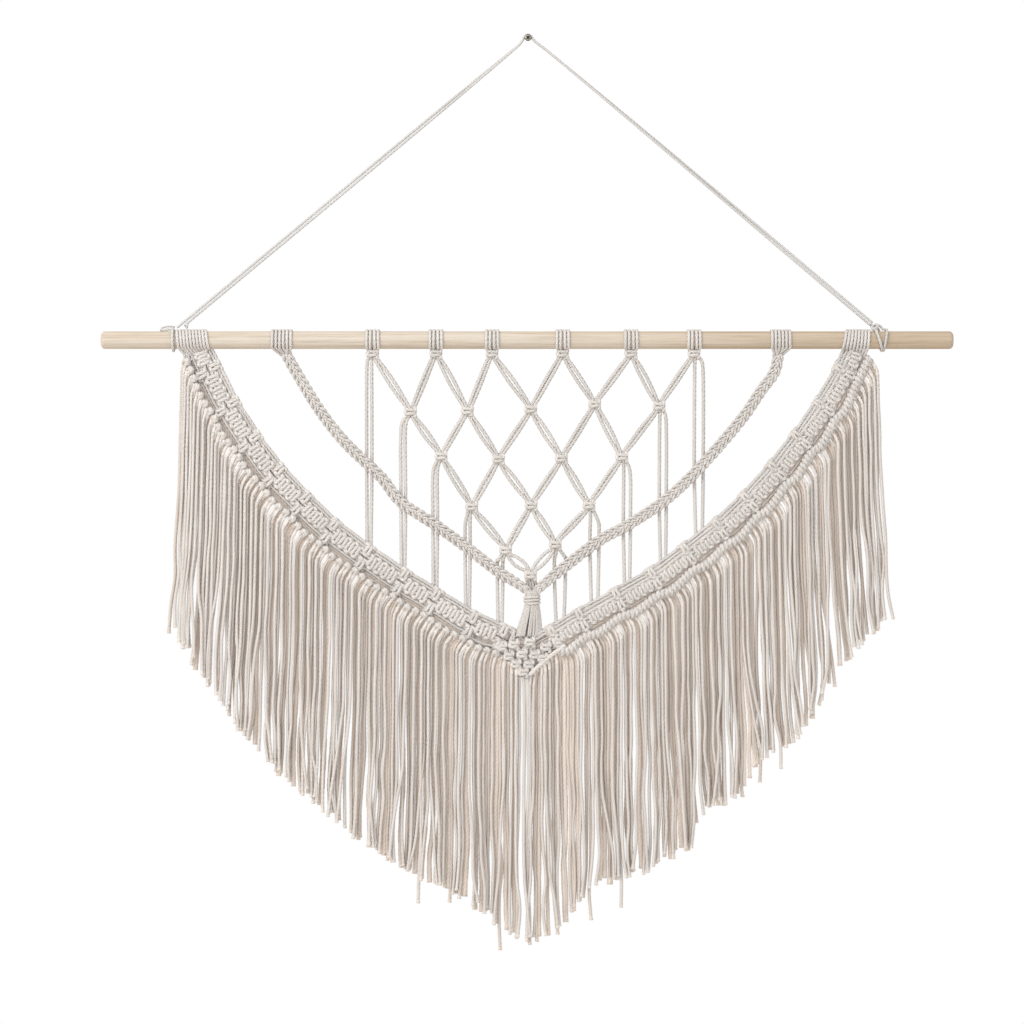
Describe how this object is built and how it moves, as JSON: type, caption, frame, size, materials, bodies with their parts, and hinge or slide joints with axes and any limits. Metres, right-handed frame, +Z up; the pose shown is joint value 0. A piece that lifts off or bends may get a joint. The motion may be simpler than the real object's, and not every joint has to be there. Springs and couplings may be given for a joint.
{
  "type": "macrame wall hanging on a wooden dowel",
  "caption": "Knotted cotton cord hanging on a round wooden dowel: diamond net, two braids and a V-shaped band with a long fringe, hung from a nail by a doubled cord.",
  "frame": {"origin": "centre of the nail's flat back, on the wall plane", "axes": "+Z up, the front faces -Y, +X to the right as seen from the front"},
  "size_m": [0.914, 0.0272, 0.9849],
  "materials": {
    "cotton_cord": "natural undyed cotton, three-ply twisted cord",
    "hanging_cord": "natural undyed cotton, thin twisted cord",
    "dowel_wood": "pale unvarnished hardwood with fine lengthwise grain",
    "nail_steel": "bright steel"
  },
  "bodies": {
    "root": {"dowel": "dowel_wood", "wall_nail": "nail_steel", "hanger_strand_a": "hanging_cord", "hanger_strand_b": "hanging_cord", "hanger_tie_left": "hanging_cord", "hanger_tie_right": "hanging_cord", "net": "cotton_cord", "braid_left": "cotton_cord", "braid_right": "cotton_cord", "centre_gather": "cotton_cord", "band": "cotton_cord", "fringe_left": "cotton_cord", "fringe_right": "cotton_cord"}
  },
  "joints": []
}
